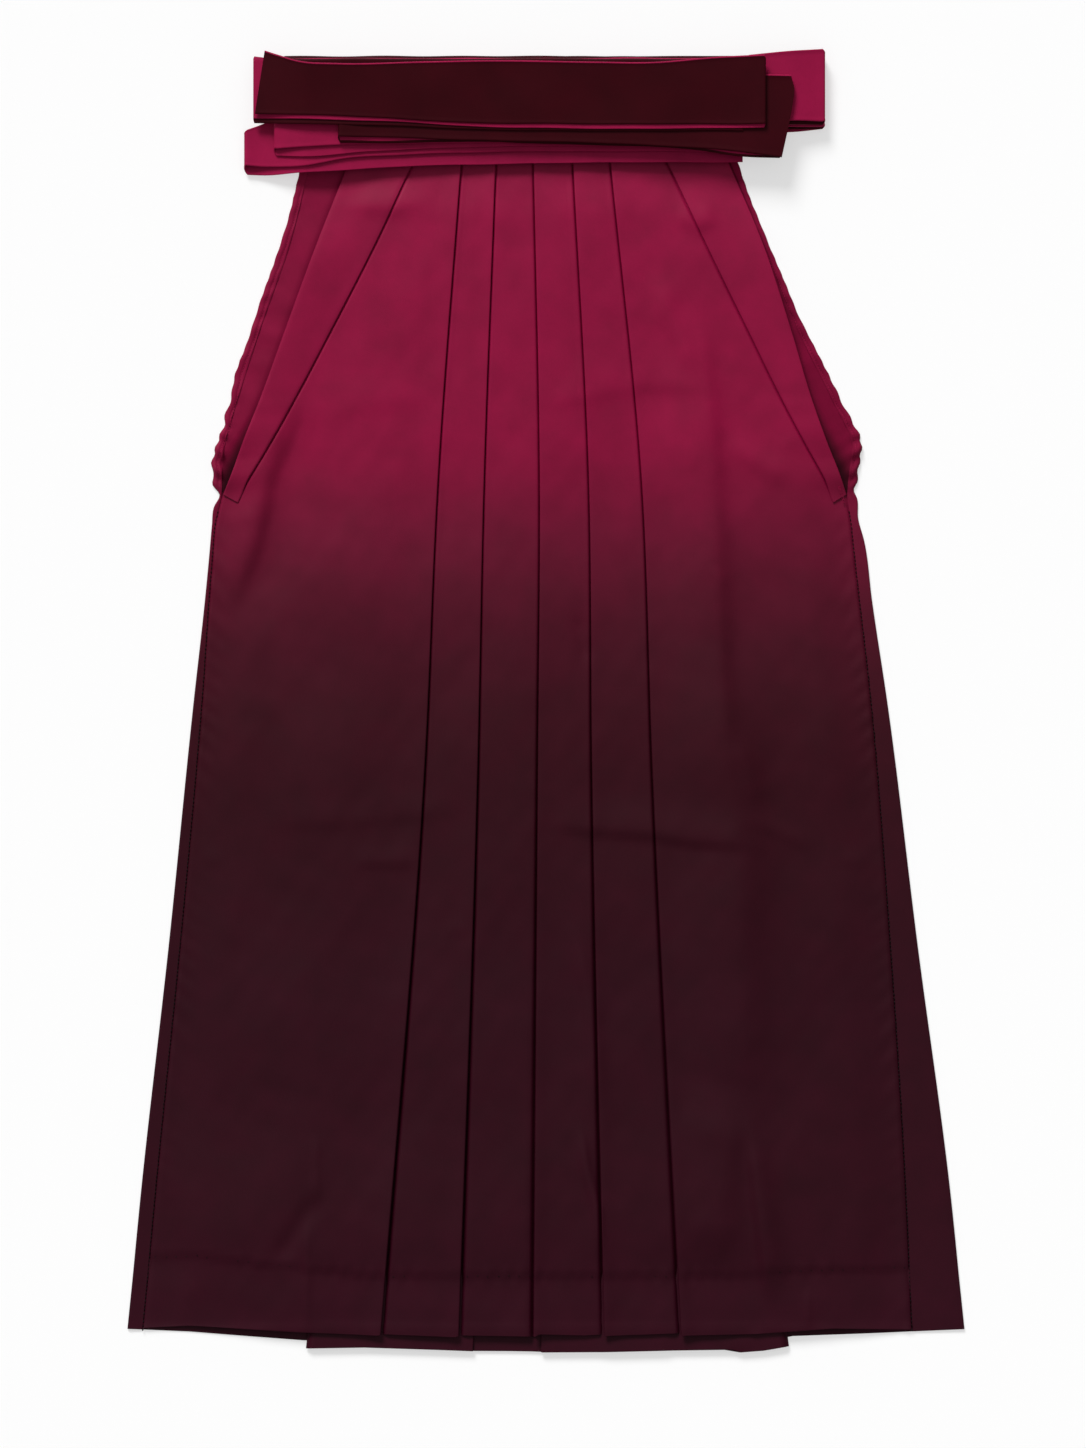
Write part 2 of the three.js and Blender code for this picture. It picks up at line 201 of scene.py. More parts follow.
def speckle(tree, place, colour):
    """Slight unevenness of a dyed colour: broad clouds and fine flecks."""
    clouds = tree.add("ShaderNodeTexNoise", {}, {"Vector": place, "Scale": 34.0, "Detail": 5.0})["Fac"]
    flecks = tree.add("ShaderNodeTexNoise", {}, {"Vector": place, "Scale": 620.0, "Detail": 3.0})["Fac"]
    amount = 0.68 + clouds * 0.50 + flecks * 0.14
    return tree.add("ShaderNodeVectorMath", {"operation": "SCALE"}, {
        "Vector": colour, "Scale": amount})["Vector"]


def dyed_cloth(name, gain=1.0):
    """The dyed twill. gain above or below 1 makes a lighter or darker one, as for its sewing thread. The
    attribute "inside" darkens the back where it shows in the side openings, and makes it rougher there: a
    little for its duller wrong side, the rest painted shade, deepest close beside the front's edge."""
    material, tree = new_material(name)
    place = tree.add("ShaderNodeTexCoord")["Object"]
    height = tree.add("ShaderNodeSeparateXYZ", {}, {"Vector": place})["Y"]
    cloud = tree.add("ShaderNodeTexNoise", {}, {"Vector": place, "Scale": 6.0, "Detail": 2.0})["Fac"]
    level = (height * 1000 + cloud * 16 - 8 - DYE_LOW) * (1 / (DYE_HIGH - DYE_LOW))
    stops = [((y - DYE_LOW) / (DYE_HIGH - DYE_LOW), tuple(c * gain for c in linear(*rgb))) for y, *rgb in DYE]
    colour = tree.add("ShaderNodeValToRGB", {"stops": stops}, {"Fac": level})["Color"]
    # inside: painted shade on the back in the side openings, with a little darkening for its wrong side
    inside = tree.add("ShaderNodeAttribute", {"attribute_name": "inside"})["Fac"]
    shaded = tree.add("ShaderNodeVectorMath", {"operation": "SCALE"}, {
        "Vector": colour, "Scale": 1 - inside * 0.9})
    colour = speckle(tree, place, shaded["Vector"])
    roughness = 0.52 + inside.maths("MINIMUM", inside * 3.0, 1.0) * 0.45
    surface(tree, {"Base Color": colour, "Roughness": roughness, "Specular IOR Level": 0.115,
                   "Normal": twill(tree, place)["Normal"]})
    return material


back_dyed = dyed_cloth("back_dyed")
inner_dyed = dyed_cloth("inner_leg_dyed")
front_dyed = dyed_cloth("front_dyed")
strip_dyed = dyed_cloth("strip_dyed")


# ---------- back panels ----------
# Two lengths of cloth with a deep pleat meeting at the centre. The side edge is turned to the front:
# a narrow hem at the side opening, and below it the strip that the front is sewn to.
HEM, CROTCH, OPENING_END, WAIST = -515, 60, 168, 440
CLOTH, GAP = 1.0, 0.3          # a wall, and the air between two layers
LAYER = CLOTH + GAP
ONE_LAYER = 0.6               # thickness of one layer of this cloth
TOPSTITCH = 5                  # from an opening's edge to its stitches
WRONG_SIDE_AND_SHADE = {"left": 0.12, "right": 0.32}   # how dark the back is painted in each opening: a little for its wrong side, the rest painted shade, more on the right
SEAM_IN, SEAM_IN_TOP = 45, 4   # from a leg's innermost edge to its back's seam: below the crotch, at it
EDGES = {   # height, place: the back's side edges, its turned strip's inner edges, the front's edges
    "back_left": [
        (440, -199), (408, -206.2), (392, -210.3), (359, -220.9), (327, -232.3), (294, -242.9),
        (262, -254.3), (245, -257), (235, -260.8), (226, -262), (213, -266.9), (200, -270.8),
        (190, -272.4), (181, -270.6), (176, -271.2), (168, -266), (158, -270.6), (143, -272.2),
        (115, -274.7), (82, -277.9), (0, -287), (-200, -307.5), (-400, -330), (-515, -341)],
    "turn_left": [
        (440, -192), (375, -208), (300, -234), (245, -251.5), (210, -261.5), (185, -264), (168, -264.5),
        (150, -268.5), (110, -272.5), (0, -280.5), (-200, -298.5), (-400, -318.5), (-515, -329)],
    "front_left": [
        (440, -160), (375, -185.5), (300, -213), (245, -233), (210, -247), (185, -256), (168, -262.8),
        (150, -268), (110, -272), (0, -280), (-200, -298), (-400, -318), (-515, -328.5)],
    "front_right": [
        (440, 148), (375, 175.5), (300, 200), (245, 216.5), (210, 229), (185, 239), (168, 244.5),
        (150, 247.5), (110, 252), (0, 264.5), (-200, 280.5), (-400, 293), (-515, 298)],
    "turn_right": [
        (440, 150), (375, 176.5), (300, 206.5), (245, 233.5), (210, 249), (185, 247), (168, 245.5),
        (150, 248), (110, 252.5), (0, 265), (-200, 281), (-400, 293.5), (-515, 298.5)],
    "back_right": [
        (440, 156), (408, 167), (392, 173.6), (376, 180), (343, 194), (310, 207.8), (294, 216),
        (262, 232.3), (245, 240.4), (231, 247.8), (214, 256.2), (204, 257), (194, 255.3), (180, 253.5),
        (172, 251), (165, 253.6), (149, 254.4), (131, 259.2), (82, 265.7), (0, 278), (-200, 303),
        (-400, 329.5), (-515, 341)],
    "strip_left": [(440, -108), (375, -138), (300, -176.5), (245, -205.5), (210, -225),
                   (185, -240), (168, -251)],
    "strip_right": [(440, 98.5), (375, 129), (300, 165.5), (245, 192.5), (210, 211), (185, 225), (168, 234)],
    "meet": [(440, -18), (60, -6), (-515, 6)],
    "inner_left": [(440, -72), (60, -135), (-515, -195.5)],
    "inner_right": [(440, 62), (60, 120), (-515, 198)],
    "leg_left": [(440, -20), (60, -21), (-515, -59.5)],
    "leg_right": [(440, -20), (60, -19), (-515, -4)],
    "one": [(440, -69), (180, -88), (-50, -98.5), (-515, -134.5)],
    "two": [(440, -41), (180, -50.5), (-50, -55.5), (-515, -71)],
    "three": [(440, -10), (180, -5), (-50, -6.5), (-515, -10)],
    "four": [(440, 22), (180, 35), (-50, 37.5), (-515, 47.5)],
    "five": [(440, 52.5), (180, 78), (-50, 86.5), (-515, 110)],
}
HEM_LINES = {   # place across, height: each layer's lower edge
    "front": [
        (-341, -511.5), (-290, -508.8), (-245, -511.5), (-196, -514.2), (-136.5, -516.5), (-134, -515.5),
        (-73.5, -517.8), (-71, -516.5), (-9, -517.5), (-6, -515.5), (31, -516.5), (46, -515.8),
        (49, -516.8), (109, -514.8), (111.5, -516.5), (168, -515.5), (198, -513.5), (233, -511),
         (298, -512.2),
        (341, -511.7)],
    "back": [
        (-341, -511.5), (-290, -513.7), (-249, -517), (-195.5, -521), (0, -525), (168, -523.5), (199, -517.5),
        (268, -515), (300, -513.5), (341, -511.7)],
    "inner": [
        (-341, -527), (-195.5, -527.3), (-148, -526.5), (-86, -528.5), (-60, -529.5), (-33, -529.5),
        (-4, -530), (-3, -530.5), (48, -530.2), (99, -529), (154, -528.2), (157, -530.6), (178, -529),
        (198, -525.5), (341, -525)],
}


def smooth(start, end, value):
    """0 before start, 1 after end, with a soft rise between."""
    t = np.clip((value - start) / (end - start), 0, 1)
    return t * t * (3 - 2 * t)


def line_through(table, at):
    """A smooth curve through a short table of places."""
    places, values = np.array(sorted(table), float).T
    slopes = np.gradient(values, places)
    i = np.clip(np.searchsorted(places, at) - 1, 0, len(places) - 2)
    width = places[i + 1] - places[i]
    t = (np.clip(at, places[0], places[-1]) - places[i]) / width
    return ((2 * t**3 - 3 * t**2 + 1) * values[i] + (t**3 - 2 * t**2 + t) * width * slopes[i]
            + (3 * t**2 - 2 * t**3) * values[i + 1] + (t**3 - t**2) * width * slopes[i + 1])


def edge(name, y):
    return line_through(EDGES[name], y)


def heights(low, high, step):
    """Heights of a panel's rows, with a close pair at each end so that the cut edge stays crisp."""
    inside = np.linspace(low + 1.5, high - 1.5, int((high - low) / step))
    return np.concatenate([[low, low + 0.4], inside, [high - 0.4, high]])


def run(start, end, count, levels, crowd=1.0):
    """Columns from one edge to another, the last left out, and their layer. crowd above 1 packs them
    towards the end, below -1 towards the start."""
    t = np.arange(count) / count
    t = t ** -crowd if crowd < 0 else 1 - (1 - t) ** crowd
    x = start[:, None] + (end - start)[:, None] * t
    return x, np.broadcast_to(levels[0] + (levels[1] - levels[0]) * t, x.shape)


def fold(at, levels, side, count=7):
    """Columns round a half-round fold that reaches out to at. side is +1 where it bulges to +X."""
    a = np.radians(np.linspace(-90, 90, count))
    radius = LAYER / 2 * abs(levels[1] - levels[0])
    x = at[:, None] - side * (radius * (1 - np.cos(a)) + ONE_LAYER / 2)
    level = (levels[0] + levels[1]) / 2 + (levels[1] - levels[0]) / 2 * np.sin(a)
    return x, np.broadcast_to(level, x.shape)


def join(*groups):
    """Puts groups of columns side by side: their places, and their layers."""
    return [np.hstack(parts) for parts in zip(*groups)]


def beside(at, side):
    """Close columns on the lowest layer, from just under a fold's edge to a little way out past it."""
    x = at[:, None] + side * np.array([-1.4, -0.6, 0, 0.5, 1.0, 1.6, 2.4, 3.4, 4.6])
    return x, np.zeros(x.shape)


def end_column(x, level):
    return x[:, None], np.full((len(x), 1), float(level))


def to_hem(x, y, line, reach=60):
    """Heights of a panel's points, drawn down to their hem line near the lower edge."""
    low = np.interp(x, *np.array(HEM_LINES[line], float).T)
    return y + (low - HEM) * (1 - smooth(HEM, HEM + reach, y))


def crease(x, y, path, height, near, far, soft=2):
    """Height of one crease: a ridge, or a trough where it is negative, along a given path.
    near is its width left of the path's direction and far its width right of it. soft 1 is a sharp
    pressed line. It fades out at both ends."""
    path = np.array(path, float)
    steps = np.diff(path, axis=0)
    sizes = np.hypot(*steps.T)
    starts = np.concatenate([[0], np.cumsum(sizes)])
    closest = np.full(np.shape(x), 1e9)
    left = np.zeros(np.shape(x), bool)
    share = np.zeros(np.shape(x))
    for (ax, ay), (dx, dy), size, start in zip(path, steps, sizes, starts):
        t = np.clip(((x - ax) * dx + (y - ay) * dy) / size**2, 0, 1)
        off_x, off_y = x - ax - t * dx, y - ay - t * dy
        distance = np.hypot(off_x, off_y)
        closer = distance < closest
        closest = np.where(closer, distance, closest)
        left = np.where(closer, dx * off_y - dy * off_x > 0, left)
        share = np.where(closer, (start + t * size) / starts[-1], share)
    fade = smooth(0, 0.3, share) * smooth(1, 0.7, share)
    return height * fade * np.exp(-(closest / np.where(left, near, far)) ** soft)


def ripples(x, y, seed, count, shortest, longest):
    """Gentle irregular waves about 0, from -1 to 1, that never repeat across the garment."""
    rng = np.random.default_rng(seed)
    total = np.zeros(np.shape(x))
    for _ in range(count):
        angle = rng.uniform(0, math.pi)
        length = rng.uniform(shortest, longest)
        across = x * math.cos(angle) + y * math.sin(angle)
        total = total + np.sin(2 * math.pi * (across / length + rng.uniform()))
    return total / math.sqrt(count) / 1.6


STORED = [   # pressed lines from folding the garment away. They run through every layer.
    ([(-247, -99), (-165, -97), (-105, -91), (-56, -83)], 0.7, 16, 6, 2),
    ([(-15, -96), (36, -103.5), (90, -107.5), (117, -112.5), (152, -114.5), (190, -118)], 2.0, 20, 5, 2),
    ([(-160, -131), (-100, -131)], 1.0, 12, 4, 2),
    ([(-187, 235), (-84, 251)], 0.7, 18, 8, 2),
    ([(-17, 243), (25, 248), (79, 259), (144, 256)], 1.3, 22, 7, 2),
    ([(146, -529), (158, -523), (180, -514)], 1.2, 3, 2, 2),
]


def stored(x, y):
    return sum(crease(x, y, path, height, near, far, soft) for path, height, near, far, soft in STORED)


def at_metre(*points):
    return np.stack([np.asarray(p, float) for p in points], axis=-1) * 0.001


def cloth_piece(name, x, y, z, material, thickness=ONE_LAYER):
    """One cloth piece: a grid of points in millimetres, with a UV map in metres along the cloth, given
    its thickness evenly on both sides. Gives the object and its cut: width, length and area."""
    points = at_metre(x, y, z)
    rows, columns = x.shape
    across = np.linalg.norm(np.diff(points, axis=1), axis=2)
    u = np.hstack([np.zeros((rows, 1)), np.cumsum(across, axis=1)])
    along = np.linalg.norm(np.diff(points, axis=0), axis=2)
    v = np.vstack([np.zeros((1, columns)), np.cumsum(along, axis=0)])
    number = np.arange(rows * columns).reshape(rows, columns)
    quads = np.stack([
        number[:-1, :-1], number[:-1, 1:], number[1:, 1:], number[1:, :-1]], axis=-1).reshape(-1, 4)
    mesh = bpy.data.meshes.new(name)
    mesh.from_pydata(points.reshape(-1, 3), [], quads.tolist())
    uv = mesh.uv_layers.new(name="cloth")
    loops = quads.reshape(-1)
    uv.data.foreach_set("uv", np.stack([u.reshape(-1)[loops], v.reshape(-1)[loops]], axis=-1).reshape(-1))
    mesh.shade_smooth()
    mesh.materials.append(material)
    piece = bpy.data.objects.new(name, mesh)
    bpy.context.scene.collection.objects.link(piece)
    wall = piece.modifiers.new("wall", "SOLIDIFY")
    wall.thickness = thickness * 0.001
    wall.offset = 0
    area = sum(polygon.area for polygon in mesh.polygons)
    width, length = u[:, -1].max(), v[-1].max()
    return piece, {"flat": (round(width, 3), round(length, 3)), "area": round(area, 4)}


def back_seam(y, side):
    leg = edge("leg_left" if side < 0 else "leg_right", y)
    return leg + side * np.where(y > CROTCH, GAP / 2, np.where(y > CROTCH - 12, SEAM_IN_TOP, SEAM_IN))


def back_panel(name, side):
    hand = "left" if side < 0 else "right"
    y = heights(HEM, WAIST, 2.6)
    scallop = (np.sin(y / 2.3 + 1.5 * np.sin(y / 11)) * smooth(165, 178, y)
               * (0.25 + 0.6 * smooth(290, 225, y)))
    turn, rim = edge("turn_" + hand, y), edge("back_" + hand, y) + side * scallop
    meet = edge("meet", y) + side * GAP / 2
    inner = edge("inner_" + hand, y)
    near_rim = rim - side * 62
    outside = join(
        run(turn, rim - side * 1.0, 14, (0.5, 1), -1.8), fold(rim, (1, 0), side),
        run(rim - side * 1.4, near_rim, 20, (0, 0)), run(near_rim, meet + side * 0.6, 14, (0, 0)))
    hidden = join(
        fold(meet, (0, 1), -side, 5), run(meet + side * 1, inner - side * 1, 12, (1, 1)),
        fold(inner, (1, 2), side, 5), run(inner - side * 1.2, back_seam(y, side), 12, (2, 2)),
        end_column(back_seam(y, side), 2))
    x, level = join(outside, hidden)
    rows = np.broadcast_to(y[:, None], x.shape)
    height = np.hstack([to_hem(outside[0], rows[:, :outside[0].shape[1]], "back"),
                        to_hem(hidden[0], rows[:, outside[0].shape[1]:], "inner")])
    z = CLOTH / 2 + level * LAYER + stored(x, height) + opening_folds(x, height, rim[:, None], side)
    sewn = smooth(OPENING_END, OPENING_END - 10, height) * (level > 0.9)
    z = np.maximum(z - 1.0 * sewn * np.exp(-((x - turn[:, None]) / 1.4) ** 2), ONE_LAYER / 2)
    piece, cut = cloth_piece(name, x, height, z, back_dyed)
    # Painted shade for the "inside" attribute: a base amount for each opening, partly the wrong side and
    # partly shade, much more close beside the front's edge towards the opening's end, and some on the turned
    # hem of the opening
    outward = side * (x - edge("front_" + hand, y)[:, None])
    painted_hollow_shade = (np.exp(-(outward / (3.5 + 8 * smooth(240, 180, height))) ** 2)
              * (0.3 + 0.7 * smooth(270, 185, height)))
    shade = np.where(level < 0.5, WRONG_SIDE_AND_SHADE[hand] + (1 - WRONG_SIDE_AND_SHADE[hand]) * painted_hollow_shade, WRONG_SIDE_AND_SHADE[hand] * 0.8)
    shade = shade * smooth(OPENING_END - 6, OPENING_END + 4, height)
    piece.data.attributes.new("inside", "FLOAT", "POINT").data.foreach_set("value", np.ravel(shade))
    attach(piece, "root")
    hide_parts(name)
    return piece


def opening_folds(x, y, rim, side):
    """Puckers where the loose side of the back bunches above the end of its opening, and along the
    topstitched hem of the opening."""
    inward = np.abs(x - rim)
    bunch = np.exp(-((y - 198) / 24) ** 2)
    pucker = 0.5 + 0.5 * np.sin(y / 2.0 + inward / 4 + np.sin(y / 9) * 1.5)
    hemmed = smooth(9, 6, inward) * smooth(150, 175, y) * smooth(445, 400, y)
    wave = 0.5 + 0.5 * np.sin(y / 3.1 + np.sin(y / 17) * 3)
    stitched = np.exp(-((inward - TOPSTITCH) / 0.9) ** 2) * smooth(445, 400, y) * smooth(160, 180, y)
    across = (0.4 * smooth(44, 30, inward) * np.sin(y / 5.3 + inward / 16 + 2 * np.sin(y / 23))
              * smooth(165, 190, y))
    inside = bunch * smooth(60, 10, inward) * 0.8 * pucker + across
    hemmed = hemmed * smooth(0, 2.5, inward)
    return inside + hemmed * (0.8 * wave + bunch * (0.9 + 2.2 * pucker)) - 0.5 * stitched


back_left = back_panel("back_left", -1)
back_right = back_panel("back_right", 1)


# ---------- inner legs ----------
# Between the legs the back is sewn to the inner leg, which turns at the leg's inmost edge and runs out
# under the front. Only its lower edge shows, below the front's hem.
INNER_SHORT = 2


def inner_leg(name, side):
    hand = "left" if side < 0 else "right"
    y = heights(HEM, CROTCH, 6.0)
    turn = edge("leg_" + hand, y)
    far = edge("inner_" + hand, y) - side * INNER_SHORT
    seam = back_seam(y, side) - side * GAP
    x, level = join(
        run(seam, turn + side * 1.2, 10, (2, 2)), fold(turn, (2, 3), -side),
        run(turn + side * 1.4, far, 32, (3, 3)), end_column(far, 3))
    height = to_hem(x, np.broadcast_to(y[:, None], x.shape), "inner")
    plate = smooth(46, 48, x) * smooth(100, 98, x) * smooth(HEM + 40, HEM, y)[:, None]
    z = CLOTH / 2 + level * LAYER + stored(x, height) + 0.9 * plate
    piece, cut = cloth_piece(name, x, height, z, inner_dyed)
    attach(piece, "root")
    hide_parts(name)


inner_leg("inner_leg_left", -1)
inner_leg("inner_leg_right", 1)


# ---------- front panels ----------
# Two cloths, knife-pleated towards the centre: pleats one and two fold to the right, three to five to
# the left, so that the panel between two and three lies lowest. The side edges are sewn to the back's
# strips below the openings. The cloth lies a few millimetres proud, and the creases stand on that.
RETURN = 0.55                  # part of a pleat's spacing that its hidden fold takes
PRESSED = 0.75                 # rise from one layer of a pressed pleat to the next
HALF_UP = 0.9                  # layers that a pleat has climbed by its hidden fold, of 2
CLIMB_NEAR, CLIMB_FAR, CLIMB_ABOVE = 4, 95, 120
HEM_STITCHES = [   # place across, height: the front's blind-stitched hem
    (-320, -453), (-284, -451.5), (-257, -455), (-231, -458), (-198, -461), (-133, -468),
    (-7, -468), (112, -468),
    (183, -464.5), (291, -461), (335, -466),
]
CREASES = [   # path, height, width left of it as it runs, width right of it, softness
    # left of the pleats: the soft trough from the side opening, with a bank on its outer side
    ([(-196, 246), (-206, 213), (-214, 185), (-219, 158), (-226, 125), (-243, 85), (-262, 55)],
     -4.2, 24, 11, 2),
    ([(-212, 238), (-222, 208), (-231, 180), (-236, 150), (-244, 118), (-262, 70)], 3.2, 9, 20, 2),
    ([(-199, 238), (-206, 205), (-211, 176)], -1.0, 5, 3, 2),
    ([(-262, 150), (-246, 148), (-232, 152)], 0.8, 6, 4, 2),
    # just below the belt
    ([(-196, 411), (-165, 405), (-125, 402), (-88, 408)], 1.8, 14, 7, 2),
    ([(104, 396), (122, 389), (142, 395)], 1.6, 14, 7, 2),
    # right of the pleats: the long ridge down to the hem
    ([(116, 350), (126, 290), (131, 240), (134, 190), (137, 140), (139, 80), (141, 20), (147, -90)],
     4.8, 10, 30, 2),
    ([(141, 60), (148, -60), (155, -120), (154, -210), (157, -306), (158, -380)], 7.5, 24, 40, 2),
    ([(156, -310), (146, -360), (139, -410), (134, -470)], 5.0, 19, 34, 2),
    ([(166, -330), (172, -390), (178, -440), (184, -500)], 4.6, 13, 7, 2),
    ([(90, 350), (98, 318), (112, 290), (122, 262)], 2.0, 10, 9, 2),
    ([(143, 213), (166, 199), (188, 186), (205, 182)], 1.6, 9, 9, 2),
    ([(190, 204), (206, 218)], 0.8, 3, 3, 2),
    ([(134, 109), (148, 93)], 0.8, 3, 3, 2),
    ([(156, -30), (174, -86)], 1.6, 10, 8, 2),
    ([(155, -94), (188, -105), (221, -121)], 1.1, 8, 5, 2),
    ([(236, -129), (276, -132)], 0.9, 7, 4, 2),
    # the centre panels
    ([(18, -174), (29, -211), (34, -238), (39, -290), (42, -340)], 2.0, 8, 7, 2),
    ([(26, -337), (34, -384), (42, -412), (45, -460)], 2.2, 4, 6, 2),
    ([(24, 72), (34, 30)], -1.2, 8, 6, 2),
    # the left leg's lower part
    ([(-187, -350), (-187, -415)], 1.0, 4, 4, 2),
    ([(-182, -396), (-205, -433), (-222, -462)], -2.0, 9, 8, 2),
    ([(-195, -412), (-195, -520)], 1.0, 4, 3, 2),
    ([(-315, -380), (-304, -440), (-310, -510)], -2.4, 7, 8, 2),
    ([(-290, -470), (-289, -520)], 0.8, 3, 2, 2),
    ([(213, -475), (213, -514)], 0.8, 3, 2, 2),
    # short lines pressed across the front
    ([(-296, -128), (-262, -130)], 0.8, 8, 4, 2),
    ([(-84, -186), (-59, -186)], 0.5, 7, 4, 2),
]


def layers_under(x, y):
    """How many layers lie under the front: one at the sides, more over the back's pleat and the legs."""
    left, right = edge("inner_left", y), edge("inner_right", y)
    over = (smooth(left - CLIMB_FAR, left - CLIMB_NEAR, x)
            * (1 - smooth(right + CLIMB_NEAR, right + CLIMB_FAR, x)))
    return 1 + over * (2 + smooth(CROTCH + CLIMB_ABOVE, CROTCH, y))


def relief(x, y):
    """How far the front stands above its pressed layers: loose cloth, lifted edges at the openings,
    creases, seam puckers, and the doubled hem."""
    left, right = edge("front_left", y), edge("front_right", y)
    inward = np.minimum(x - left, right - x)
    loose = smooth(0, 45, inward)
    gap = smooth(OPENING_END - 4, 225, y) * smooth(WAIST - 4, 350, y)
    gap = np.maximum(gap, 0.6 * smooth(OPENING_END - 2, 186, y) * smooth(240, 190, y))
    base = (4.2 * loose + 6 * (1 - loose) * gap) * smooth(WAIST, 392, y)
    base = base * (1 - 0.75 * smooth(HEM + 90, HEM, y))
    folds = sum(crease(x, y, *row) for row in CREASES)
    sway = 1.0 * ripples(x, y, 4, 9, 60, 190) + 0.16 * ripples(x, y, 9, 12, 14, 40)
    seam = smooth(OPENING_END + 10, OPENING_END - 30, y) * np.exp(-(inward / 11) ** 2)
    pucker = np.sin((y + inward * 0.9) / 2.9 + 2.5 * np.sin(y / 31)) * (0.7 + 0.3 * np.sin(y / 47 + 1))
    above_stitches = y - np.interp(x, *zip(*HEM_STITCHES))
    hem_dip = 1.0 * smooth(1, -1.8, above_stitches) * smooth(-30, -1.8, above_stitches)
    hem_pucker = (0.55 * np.sin(x / 2.2 + 2 * np.sin(x / 23)) * np.sin(x / 41 + 2)
                  * np.exp(-(above_stitches / 5) ** 2))
    bead = 0.6 * np.exp(-((y - HEM - 4) / 2.6) ** 2)
    height = base + (folds + sway) * (0.25 + 0.75 * loose) + 0.8 * seam * pucker
    return np.maximum(height, 0.2) - hem_dip + hem_pucker + bead + stored(x, y)


def side_run(y, side, hidden):
    """The side panel's columns from its edge to the hidden fold of the pleat beside it, and their
    layers above those under the front: it climbs onto that pleat."""
    hand = "left" if side < 0 else "right"
    rim, strip = edge("front_" + hand, y), edge("strip_" + hand, y)
    x, _ = join(run(rim, strip + side * 2.4, 14, (0, 0), -1.6), beside(strip, -side),
                run(strip - side * 6, hidden, 34, (0, 0)))
    middle = (rim + hidden)[:, None] / 2
    return x, HALF_UP * smooth(middle, hidden[:, None], x)


def knife(crease_at, hidden, side):
    """One knife pleat: along the top to its edge, back underneath, round its hidden fold and out."""
    return [
        run(hidden, crease_at - side * 1.0, 13, (HALF_UP, 2), 1.5), fold(crease_at, (2, 1), side),
        run(crease_at - side * 1.2, hidden + side * 1.2, 5, (1, 0.4)), fold(hidden, (0.4, 0), -side, 5),
        run(hidden + side * 1.2, crease_at - side * 2.5, 4, (0, 0)), beside(crease_at, side)]


def front_rows(y, side):
    one, two, three, four, five = [edge(name, y) for name in ("one", "two", "three", "four", "five")]
    if side < 0:
        depth = (two - one) * RETURN
        return join(
            side_run(y, side, one - depth), *knife(one, one - depth, 1),
            run(one + 6, two - depth, 12, (0, HALF_UP)), *knife(two, two - depth, 1),
            run(two + 6, three - 6, 20, (0, 0)), [part[:, ::-1] for part in beside(three, -1)],
            run(three + 2.5, three + (four - three) * RETURN, 5, (0, 0)),
            end_column(three + (four - three) * RETURN, 0))
    depth = (five - four) * RETURN
    return join(
        side_run(y, side, five + depth), *knife(five, five + depth, -1),
        run(five - 6, four + depth, 12, (0, HALF_UP)), *knife(four, four + depth, -1),
        run(four - 6, three + (four - three) * RETURN, 12, (0, HALF_UP)),
        run(three + (four - three) * RETURN, three + 1.0, 12, (HALF_UP, 2), 1.5), fold(three, (2, 1), -1),
        run(three + 1.2, three + (four - three) * RETURN, 5, (1, 0.3)),
        end_column(three + (four - three) * RETURN, 0.3))


def front_height(x, y, above=0):
    """Middle of the front's cloth, so many layers above the ones that it lies on."""
    return CLOTH / 2 + layers_under(x, y) * LAYER + above * PRESSED + relief(x, y)


def front_panel(name, side):
    y = heights(HEM, WAIST, 4.0)
    x, above = front_rows(y, side)
    height = to_hem(x, np.broadcast_to(y[:, None], x.shape), "front")
    z = front_height(x, np.clip(height, HEM, WAIST), above)
    for pleat in ("one", "two", "three", "four", "five"):
        away = np.abs(x - edge(pleat, y)[:, None])
        open_up = smooth(150, HEM, height)
        z = z + (0.3 + 1.1 * open_up) * np.exp(-(away / 9) ** 2) * smooth(0.5, 1.9, above)
        z = z - (3.0 + open_up) * np.exp(-(away / (1.1 + 1.5 * open_up)) ** 2) * smooth(0.5, 0.1, above)
    strip = edge("strip_" + ("left" if side < 0 else "right"), y)[:, None] - side * 0.7
    z = z - 1.8 * np.exp(-((x - strip) / 1.1) ** 2) * smooth(OPENING_END - 3, OPENING_END + 4, height)
    rim = edge("front_" + ("left" if side < 0 else "right"), y)[:, None]
    sewn = smooth(OPENING_END + 4, OPENING_END - 8, height)
    z = z - 1.3 * sewn * smooth(2.2, 0, np.abs(x - rim))
    piece, cut = cloth_piece(name, x, height, z, front_dyed)
    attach(piece, "root")
    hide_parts(name)
    return piece


front_left = front_panel("front_left", -1)
front_right = front_panel("front_right", 1)


# ---------- sasahida ----------
# The slanted strips on the front's side edges, folded double and laid on the front, each ending in a
# short slanted cut beside the end of the opening.
SLANT = 6.5


def sasahida(name, side):
    hand = "left" if side < 0 else "right"
    y = heights(OPENING_END, WAIST, 2.6)
    outer, inner = edge("front_" + hand, y), edge("strip_" + hand, y)
    shares = np.concatenate([[0, 0.01, 0.03], np.linspace(0.07, 0.93, 16), [0.97, 0.99, 1]])
    x = outer[:, None] + (inner - outer)[:, None] * shares
    low = smooth(OPENING_END + 14, OPENING_END, y)[:, None]
    height = y[:, None] - SLANT * shares * low
    z = front_height(x, height) + LAYER
    rolled = 0.45 * (np.exp(-(shares / 0.03) ** 2) + np.exp(-((1 - shares) / 0.03) ** 2))
    z = z - rolled + 0.08 * np.sin(y / 4.1 + np.sin(y / 13) * 2)[:, None] * smooth(300, 230, y)[:, None]
    piece, cut = cloth_piece(name, x, height, z, strip_dyed)
    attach(piece, "root")
    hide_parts(name)


sasahida("sasahida_left", -1)
sasahida("sasahida_right", 1)


# ---------- waist bands ----------
# Flat bands that hold the pleats: the back's on the surface, the front's over its pleats. The belt
# covers both, so they are plain.
BAND_TOP, WAISTBAND = 497, 1.6


